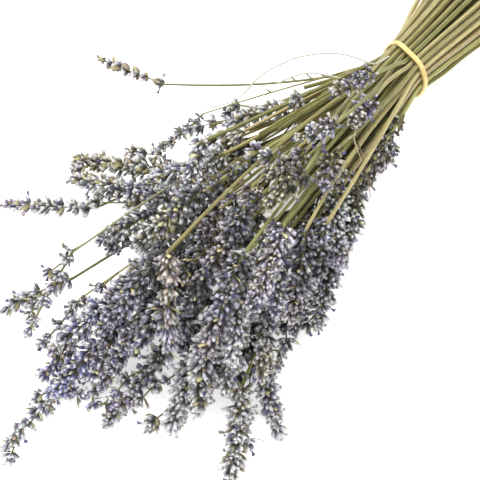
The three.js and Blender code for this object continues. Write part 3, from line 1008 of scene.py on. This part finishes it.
def addWhorl(gathering, seed, kind, path, span, share, run, full):
    # rings of calyxes round a place on a path, and the two bracts below them
    at, ahead, side, up = path.frameAt(span)
    phase = seed.uniform(0, math.tau)
    full *= 1 + np.clip(seed.normal(0, 0.1), -0.2, 0.16)
    droop = seed.normal(0, 5)
    for count, *ring in kind["rings"]:
        count = max(2, int(round(count * (0.6 + 0.4 * full))))
        lift = ring[2]
        for i in range(count):
            if seed.random() < whorlRule["missing"]:
                continue
            turn = phase + lift + math.tau * (i + seed.uniform(-0.35, 0.35)) / count
            place = (at, ahead, turned(side, up, turn), share, full)
            addCalyx(gathering, seed, kind, place, ring, run, droop)
    for i in range(2):
        turn = phase + math.pi * i + seed.uniform(-0.4, 0.4)
        addBract(gathering, seed, at, ahead, turned(side, up, turn), full)


axes = {}  # the line of each dressed spike


def dressSpike(name):
    number = int(name[-2:])
    seed = np.random.default_rng(bunch["seed"] * 100 + number)
    kindName, run, own = spikes[number]
    kind = plainSpike | spikeKinds[kindName] | own
    run = run.split()
    foot, stem, layer = feet[name]
    axis = axisOf(name, foot)[::6]
    axis = axis + np.outer(np.linspace(0, 1, len(axis)), kind["nudge"])
    onward = spikeRule["onward"]
    longest = Path(np.vstack([axis, axis[-1] + unit(axis[-1] - axis[-2]) * onward]), 60)
    path = Path(longest.at(np.linspace(0, longest.length - onward + kind["onward"], 16))[0], 60)
    axes[name] = path
    gathering = Gathering()
    thick, thin = spikeRule["rachis"]
    rachis = laidAlong(rachisShape, path, [thick * kind["scale"], thin], end=path.length * 0.97)
    gathering.add(rachisShape, rachis, 3, rachisTone, rachisTone, strips=1)
    first, last = spikeRule["first"], path.length - spikeRule["last"]
    if number in whorlsAt:
        spans = [first + (last - first + spikeRule["openEnd"]) * share for share in whorlsAt[number]]
    else:
        whorls = max(4, int(round((path.length - 3.0) / kind["pitch"])))
        spans = np.linspace(first, last, whorls)
        spans = spans + seed.uniform(-spikeRule["uneven"], spikeRule["uneven"], whorls)
    for span in spans:
        share = np.clip((span - spans[0]) / (spans[-1] - spans[0]), 0, 1)
        addWhorl(gathering, seed, kind, path, span, share, run, np.interp(share, *spikeRule["full"]))
    extra = seed.integers(1, farWhorls["most"] + 1) if seed.random() < farWhorls["share"] else 0
    if layer < farWhorls["layers"] and number not in whorlsAt:
        farKind = kind | spikeKinds["open"] | {"petals": kind["petals"], "scale": 1.0}
        span = stem.length
        for _ in range(kind.get("far", extra)):
            span -= seed.uniform(*farWhorls["gap"])
            addWhorl(gathering, seed, farKind, stem, span, 0.0, run, seed.uniform(*farWhorls["full"]))
    piece = gathering.weave(
        "flower" + name[5:], [calyxMaterial, petalMaterial, bractMaterial, stemMaterial]
    )
    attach(piece, "root")
    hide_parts(name)
    return piece


print("dressing the flower spikes")
spikePieces = [dressSpike(name) for name in spikeNames]

bandSizes = {
    "width": 2.5,
    "thick": 1.5,
    "slack": 0.3,  # how far it stands off the stems
    "steps": 181,
    "segments": (104, 16),
}


def bandReach(centre, across, rise):
    # how far the band is from its middle, by direction: stretched round the stems, evened out a little
    held = []
    for _, path, _ in feet.values():
        middle = path.frameAt(path.waist())[0] - centre
        held.append((middle @ across, middle @ rise))
    looks = np.linspace(-math.pi, math.pi, bandSizes["steps"])
    facing = np.stack([np.cos(looks), np.sin(looks)])
    support = (np.array(held) @ facing).max(0) + stemSizes["cut"] * 1.15 + bandSizes["thick"] / 2
    hull = []
    for turn in looks:
        gap = np.cos(looks - turn)
        hull.append((support[gap > 0.3] / gap[gap > 0.3]).min())
    softly = np.exp(-np.linspace(-2, 2, 37) ** 2)
    hull = np.convolve(np.concatenate([hull[-19:-1], hull, hull[1:19]]), softly / softly.sum(), "valid")
    return looks, hull + bandSizes["slack"]


def modelBand():
    points, _ = solidOf("rubber_band")
    centre = points.mean(0)
    normal = np.linalg.svd(points - centre)[2][2]
    normal = normal * np.sign(normal[1])
    flat = points - centre - np.outer((points - centre) @ normal, normal)
    across = unit(np.cross(normal, [0, 0, 1.0]))
    rise = np.cross(across, normal)
    outer = np.linalg.norm(flat, axis=1).max()
    thick, width = bandSizes["thick"], bandSizes["width"]
    looks, hull = bandReach(centre, across, rise)
    around, section = bandSizes["segments"]
    bpy.ops.object.select_all(action="DESELECT")
    bpy.ops.mesh.primitive_torus_add(
        major_segments=around, minor_segments=section, major_radius=1, minor_radius=0.5, location=(0, 0, 0)
    )
    piece = bpy.context.object
    piece.name = "rubberBand"
    for vertex in piece.data.vertices:
        x, y, z = vertex.co
        turn = math.atan2(y, x)
        radial = math.hypot(x, y) - 1
        lower = np.clip(-math.sin(turn) * 2 - 0.3, 0, 1)
        ring = np.interp(turn, looks, hull) * (1 - lower) + (outer - thick * 0.5) * lower
        edge = np.sign(radial) * abs(radial / 0.5) ** 0.8 * thick / 2
        wide = np.sign(z) * abs(z / 0.5) ** 0.75 * width / 2
        sway = 0.35 * math.cos(2 * turn + 0.6) + 0.2 * math.cos(3 * turn)
        place = centre + turned(across, rise, turn) * (ring + edge) + normal * (wide + sway)
        place[2] = max(place[2], 0.02)
        vertex.co = Vector(place * mm)
    piece.data.uv_layers.active.name = "Along"
    for face in piece.data.polygons:
        face.use_smooth = True
    piece.data.materials.append(bandMaterial)
    return piece


leafRule = {
    # single leaves as points in mm, with half their width and their tone
    "single": [
        ([(0, -96, 38), (2, -104, 41.5), (6, -113, 41)], 1.0, "f2ecc8"),
        ([(15, -60, 39), (19, -67, 43), (27, -72, 40)], 0.9, "efe3bd"),
        ([(17, -63, 40), (18, -70, 45)], 0.7, "f4ebcc"),
        ([(17, -60, 32), (26, -67, 32), (37, -76, 27)], 1.1, "b6a184"),
        # these two are dark as painted shade, for leaves in shadow beside the stems
        ([(18, -42, 16), (21, -50, 14), (23, -60, 11)], 1.7, "5a4d33"),
        ([(20, -50, 14), (25, -58, 11), (27, -70, 7)], 1.8, "574a31"),
    ],
    # pairs of tiny leaves: whose stem, how far from the spike and how long
    "pairs": [
        ("spike_14", 62, 4),
        ("spike_14", 70, 5),
        ("spike_14", 76, 3.5),
        ("spike_22", 34, 3.5),
        ("spike_01", 40, 4),
    ],
    "pairTone": "93a06a",
    "pairWidth": 0.5,
    # dark leaves that lie low under the mound, along the stems of the lowest layers; their dark tone is
    # painted shade that fills the gaps under the stems
    "low": {
        "layers": 3,
        "from": 40,
        "past": 12,
        "every": 7,
        "length": (9, 15),
        "swing": 5,
        "width": 1.4,
        "height": 6.0,
        "tones": ("33332b", "33332b", "6f6d4c"),
    },
    # narrow leaves anywhere on the stems of the lower layers; their dark olive is partly their own tone
    # and partly painted shade
    "random": {
        "layers": 4,
        "each": 8,
        "reach": (22, 100),
        "short": 6,
        "length": (12, 26),
        "lean": (0.12, 0.3),
        "width": (0.45, 0.95),
        "tones": ["4d4a2a", "66633a", "3f3c28", "58492f", "77734a"],
    },
    "foot": 0.8,  # how dark a leaf's foot is beside its tip
}


def addLeaf(gathering, points, width, tone, turn=math.pi / 2, steps=30):
    laid = laidAlong(leafShape, Path(points, steps), [width], turn=turn)
    gathering.add(leafShape, laid, 0, tone * leafRule["foot"], tone, strips=1)


def lowerStems(layers):
    # the stems of the lowest layers, without the thin ones of the open spikes
    return [
        path for name, (_, path, layer) in feet.items()
        if layer < layers and name not in stemSizes["thin"]
    ]


def addShadowLeaves(gathering):
    rule = leafRule["low"]
    chance = np.random.default_rng(bunch["seed"] + 13)
    for path in lowerStems(rule["layers"]):
        for span in np.arange(path.waist() + rule["from"], path.length + rule["past"], rule["every"]):
            foot, ahead, _, _ = path.frameAt(min(span, path.length))
            beside = np.cross(ahead, [0, 0, 1.0])
            length = chance.uniform(*rule["length"])
            end = foot + ahead * length + beside * chance.uniform(-1, 1) * rule["swing"]
            end[2] = min(end[2], rule["height"])
            turn = math.pi / 2 + chance.uniform(-0.3, 0.3)
            points = [foot, foot * 0.5 + end * 0.5, end]
            addLeaf(gathering, points, rule["width"], fromHex(picked(chance, rule["tones"])), turn)


def addRandomLeaves(gathering, chance):
    rule = leafRule["random"]
    for path in lowerStems(rule["layers"]):
        for _ in range(rule["each"]):
            span = path.waist() + chance.uniform(*rule["reach"])
            if span > path.length - rule["short"]:
                continue
            at, ahead, side, up = path.frameAt(span)
            out = turned(side, up, chance.uniform(0, math.tau))
            length = chance.uniform(*rule["length"])
            aim = aimed(unit(ahead + out * chance.uniform(*rule["lean"])), at, length)
            bend = unit(ahead + aim * 2)
            points = [at + out * 0.6, at + out * 0.8 + bend * length * 0.5, at + aim * length]
            width = chance.uniform(*rule["width"])
            tone = fromHex(picked(chance, rule["tones"]))
            addLeaf(gathering, points, width, tone, chance.uniform(0, math.tau))


stalkRule = {
    # stalks without a flower, between neighbouring stems of a layer
    "layers": 6,
    "apart": 4.5,
    "sorted": 60.0,  # how far past the band the stems are counted from one side to the other
    "before": -4.0,
    "reach": (55, 100),
    "drop": 2,
    "width": (0.5, 0.85),
    # how much darker the stalks are: painted shade, as they lie between and under the stems
    "shades": (0.45, 0.85),
    # loose stalks as points in mm: at the cut end, beside the band, and along the left side
    "loose": [
        [(-11, -14, 12), (-12.5, 0, 12), (-16, 25, 13), (-24, 62, 13), (-31, 96, 12)],
        [(-11, -10, 15), (-12, 0, 15), (-16, 28, 17), (-24, 66, 18), (-33, 101, 19)],
        [(-10, -12, 18), (-11, 0, 18), (-14, 30, 20), (-20, 64, 22), (-27, 99, 23)],
        [(-12, -12, 9), (-13, 0, 9), (-17, 26, 9), (-26, 64, 9), (-34, 94, 8)],
        [(-13, -25, 24), (-18, -34, 22), (-25, -44, 20)],
        [(9, -12, 7), (10, 3, 7), (12, 17, 7), (13, 31, 7), (15, 47, 7)],
        [(-12, 7, 14), (-16, 21, 14), (-20, 33, 14), (-23, 44, 14)],
        [(-2, -38, 22), (-9, -52, 19), (-16, -68, 15), (-22, -84, 13), (-25, -96, 12)],
        [(0, -41, 20), (-6, -54, 17), (-13, -67, 14), (-19, -79, 12), (-23, -91, 10)],
        [(2, -41, 24), (-4, -51, 20), (-11, -63, 16), (-16, -73, 14)],
    ],
    "looseWidth": 1.05,
    "looseShades": (0.65, 0.95),
    "tones": 5,  # how many of the stem tones are used
}


def addStalk(gathering, points, width, tone):
    laid = laidAlong(rachisShape, Path(points, 60), [width])
    gathering.add(rachisShape, laid, 1, tone, tone, strips=2)


def addStalks(gathering, chance):
    rule = stalkRule
    for layer in range(rule["layers"]):
        row = []
        for _, path, its in feet.values():
            if its == layer:
                row.append((path.frameAt(path.waist() + rule["sorted"])[0][0], path.waist(), path))
        row.sort(key=lambda entry: entry[0])
        for (xOne, waistOne, one), (xTwo, waistTwo, two) in zip(row, row[1:]):
            for _ in range(int((xTwo - xOne) // rule["apart"])):
                share, end = chance.uniform(0.25, 0.75), chance.uniform(*rule["reach"])
                end = min(end, one.length - waistOne, two.length - waistTwo)
                runs = np.linspace(rule["before"], end, 12)
                points = one.at(waistOne + runs)[0] * share + two.at(waistTwo + runs)[0] * (1 - share)
                points[:, 2] -= np.linspace(0, rule["drop"], 12)
                tone = fromHex(stemTones[chance.integers(rule["tones"])][1])
                # painted shade: the stalk's tone is darkened
                tone = tone * chance.uniform(*rule["shades"])
                addStalk(gathering, aboveFloor(points), chance.uniform(*rule["width"]), tone)
    for points in rule["loose"]:
        tone = fromHex(stemTones[chance.integers(rule["tones"])][0])
        addStalk(gathering, points, rule["looseWidth"], tone * chance.uniform(*rule["looseShades"]))


grass = {
    "tone": fromHex("dfe5d4"),
    "halves": [0.44, 0.38],
    # each thread as points in mm
    "threads": [
        [
            (-45.4, -55.8, 17.5), (-42.9, -51.1, 22), (-37.6, -46.4, 28), (-31.2, -40.6, 33),
            (-23.5, -33.4, 35), (-17.5, -26.4, 33), (-11.7, -21.8, 30.5), (-6.4, -17.9, 28), (-5, -8, 26),
        ],
        [(-45.4, -55.8, 17.5), (-46.4, -60.7, 14), (-47.2, -66.7, 13), (-54.2, -77.7, 12)],
        [
            (-37.1, -49.5, 17.5), (-34.1, -45.3, 20), (-29.8, -41.3, 23), (-24.9, -38.2, 25),
            (-18.5, -36.5, 27), (-12.1, -35.3, 29),
        ],
        [
            (-48.3, -73.7, 12), (-45.1, -67.7, 13), (-39.3, -64.6, 14), (-32.9, -59.5, 16),
            (-28.2, -53.3, 18), (-24.9, -49.0, 20),
        ],
    ],
}


def addLeavesAndGrass():
    gathering = Gathering()
    chance = np.random.default_rng(bunch["seed"] + 7)
    for points, width, tone in leafRule["single"]:
        addLeaf(gathering, points, width, fromHex(tone))
    for name, back, length in leafRule["pairs"]:
        path = feet[name][1]
        at, ahead, side, up = path.frameAt(path.length - back)
        for way in (-1, 1):
            end = at + unit(ahead + (side * way + up * 0.6) * 0.8) * length
            addLeaf(gathering, [at, end], leafRule["pairWidth"], fromHex(leafRule["pairTone"]), steps=12)
    addShadowLeaves(gathering)
    addRandomLeaves(gathering, chance)
    addStalks(gathering, chance)
    for points in grass["threads"]:
        laid = laidAlong(fibreShape, Path(points, 80), grass["halves"])
        gathering.add(fibreShape, laid, 1, grass["tone"], grass["tone"], strips=2)
    return gathering.weave("leavesAndGrass", [bractMaterial, stemMaterial])


sprigs = {
    "branch": 5.0,  # how far back on its stem or spike a sprig leaves it
    "paler": 1.4,
    "petals": 0.08,
    "full": (0.85, 1.0),
    "stalk": [0.5, 0.3],
    "rows": [
        # the tones of a sprig's calyxes, their size and where its whorls are, in mm; the darkest tones are
        # painted shade, for sprigs that fill shadowed gaps
        ("sage silver", 0.8, [(-16, -61, 35)]),
        ("slate lilac", 1.0, [(0, -97, 43), (-7, -97, 41)]),
        ("slate violet", 0.85, [(6, -204, 8), (9, -209, 8), (14, -206, 8)]),
        ("lilac slate", 1, [(-1, -191, 10), (0, -196, 10), (2, -201, 10)]),
        ("violet slate", 0.8, [(-14, -199, 7), (-1, -211, 7), (3, -210, 7)]),
        ("slate lilac", 0.9, [(12, -193, 8), (13, -200, 8)]),
        ("slate mauve", 0.8, [(24, -183, 8), (22, -187, 8), (22, -196, 8)]),
        ("blue violet", 0.85, [(-14, -205, 8), (-13, -209, 8), (-13, -213, 8)]),
        ("shade silver", 0.85, [(43, -135, 10), (48, -141, 10)]),
        ("murk shade", 1, [(3, -105, 13), (6, -111, 13), (7, -118, 13)]),
        ("murk shade", 0.9, [(-19, -102, 13), (-18, -111, 13), (-18, -117, 13)]),
        ("silver mauve", 0.85, [(-46, -81, 12), (-49, -87, 12)]),
        ("olive straw", 0.8, [(-51, -111, 13), (-56, -115, 13), (-61, -117, 13)]),
        ("murk olive", 1, [(-27, -78, 11), (-27, -84, 11), (-27, -90, 11)]),
        ("mauve sage", 0.9, [(-42, -133, 10), (-44, -136, 10), (-55, -146, 10)]),
        ("silver slate", 0.75, [(-41, -184, 16.5)]),
        ("lilac blush", 0.8, [(-73, -137, 10), (-75, -140, 10)]),
        ("sage silver", 0.85, [(-56, -143, 10)]),
        ("violet slate", 0.8, [(-24, -173, 9)]),
        ("silver slate", 0.8, [(-43, -68, 14), (-44, -73, 14)]),
        ("slate silver", 0.75, [(31, -197, 5), (31, -200, 5)]),
        ("silver lilac", 0.7, [(48, -145, 6), (51, -149, 6)]),
        ("silver sage", 0.8, [(-40, -195, 7), (-37, -200, 7)]),
        ("slate silver", 0.85, [(-41, -173, 18.5)]),
        ("murk shade", 0.85, [(-33, -150, 11), (-33, -156, 11)]),
        ("shade murk", 0.9, [(49, -129, 9)]),
        ("sage silver", 0.8, [(-23, -182, 9)]),
        ("murk mauve", 0.9, [(22, -39, 12), (24, -44, 12), (24, -49, 12)]),
        ("murk shade", 0.9, [(16, -86, 13), (18, -91, 13)]),
        ("silver straw", 0.7, [(63, -180, 5)]),
        ("silver slate", 0.75, [(-9, -221, 5)]),
        ("silver slate", 0.7, [(-3, -221, 4)]),
        ("silver slate", 0.75, [(35, -188, 5), (37, -191, 5)]),
        ("silver slate", 0.8, [(0, -243, 4)]),
        ("murk shade", 0.9, [(14, -147, 10), (18, -159, 10), (18, -165, 10), (19, -169, 10)]),
        ("silver sage", 0.7, [(55, -172, 5)]),
        ("murk shade", 0.9, [(33, -143, 9), (36, -149, 9), (38, -155, 9), (43, -163, 9)]),
        ("murk shade", 1, [(-16, -97, 16), (-17, -108, 16)]),
        ("murk shade", 0.8, [(-17, -131, 11), (-12, -139, 11)]),
    ],
}


def addSprigs():
    # each side branch grows from the nearest stem or spike
    gathering = Gathering()
    seed = np.random.default_rng(bunch["seed"] + 11)
    carriers = [path for _, path, _ in feet.values()] + list(axes.values())
    for run, size, places in sprigs["rows"]:
        first = np.array(places[0])
        nearest = []
        for carrier in carriers:
            away = np.linalg.norm(carrier.points - first, axis=1)
            nearest.append((away.min(), carrier.spans[away.argmin()], carrier))
        gap, span, carrier = min(nearest, key=lambda entry: entry[0])
        # it leaves the stem a little way back, at a narrow angle
        root, ahead, _, _ = carrier.frameAt(max(span - sprigs["branch"] - gap, 0.5))
        path = Path([root, root * 0.45 + first * 0.55 + ahead * gap * 0.1, *places], 40)
        stalk = laidAlong(rachisShape, path, sprigs["stalk"])
        gathering.add(rachisShape, stalk, 3, rachisTone, rachisTone, strips=1)
        own = {"scale": size, "paler": sprigs["paler"], "petals": sprigs["petals"]}
        kind = spikeKinds["open"] | own
        for i, place in enumerate(places):
            span = path.spans[np.linalg.norm(path.points - np.array(place), axis=1).argmin()]
            span = min(span, path.length - 0.5)
            share = (i + 0.5) / len(places)
            addWhorl(gathering, seed, kind, path, span, share, run.split(), seed.uniform(*sprigs["full"]))
    return gathering.weave("sideSprigs", [calyxMaterial, petalMaterial, bractMaterial, stemMaterial])


print("adding leaves, grass and side sprigs")
leaves = addLeavesAndGrass()
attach(leaves, "root")
sideSprigs = addSprigs()
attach(sideSprigs, "root")

print("stretching the rubber band")
band = modelBand()
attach(band, "root")
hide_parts("rubber_band")

studio = {
    "floor": fromHex("fbfbfb"),
    "floorDim": (0.93, 0.93, 0.93),
    "azimuth": 42,
    "elevation": 59,
    "target": (5.8, -121.5, 16),
    "distance": 372,
    "lens": 67.6,
    "world": 1.2,
    # glow: painted light from the floor itself, washing out the shadows on it
    "glow": 0.5,
    "key": {"power": 4.8, "size": 0.6, "from": (-0.3, 0.25, 0.66), "warm": (1, 0.99, 0.97)},
}

print("setting the floor, the light and the camera")
bpy.ops.object.select_all(action="DESELECT")
bpy.ops.mesh.primitive_plane_add(size=12, location=(0, 0, -0.0002))
floor = bpy.context.object
floor.name = "floor"
# the floor glows as painted light, so that the shadows on it are washed out
floorFinish = Finish(
    "paleFloor", Roughness=0.9, Emission_Color=(1, 1, 1, 1), Emission_Strength=studio["glow"]
)
floorShade = floorFinish.noise(3.0).ramp(0.3, 0.8)
floorFinish.set(Base_Color=floorFinish.blend(studio["floor"], studio["floorDim"], floorShade))
floor.data.materials.append(floorFinish.material)

world = bpy.data.worlds.new("studio")
bpy.context.scene.world = world
world.use_nodes = True
world.node_tree.nodes["Background"].inputs[0].default_value = (1, 1, 1, 1)
world.node_tree.nodes["Background"].inputs[1].default_value = studio["world"]

key = studio["key"]
lamp = bpy.data.lights.new("key", "AREA")
lamp.energy = key["power"]
lamp.size = key["size"]
lamp.color = key["warm"]
keyLight = bpy.data.objects.new("key", lamp)
bpy.context.scene.collection.objects.link(keyLight)
middle = Vector(studio["target"]) * mm
keyLight.location = middle + Vector(key["from"])
keyLight.rotation_euler = Vector(key["from"]).to_track_quat("Z", "Y").to_euler()

azimuth, elevation = math.radians(studio["azimuth"]), math.radians(studio["elevation"])
back = Vector(
    (
        math.sin(azimuth) * math.cos(elevation),
        -math.cos(azimuth) * math.cos(elevation),
        math.sin(elevation),
    )
)
camera = bpy.data.objects.new("camera", bpy.data.cameras.new("camera"))
bpy.context.scene.collection.objects.link(camera)
camera.data.lens = studio["lens"]
camera.data.sensor_width = 36
camera.data.clip_start = 0.01
turnedBack = back.to_track_quat("Z", "Y").to_matrix().to_4x4()
camera.matrix_world = Matrix.Translation(middle + back * studio["distance"] * mm) @ turnedBack
bpy.context.scene.camera = camera
bpy.context.scene.view_settings.view_transform = "Standard"

shown = sum(len(p.data.polygons) for p in stemPieces + spikePieces)
print("faces", shown, "most in a spike", max(len(p.data.polygons) for p in spikePieces))
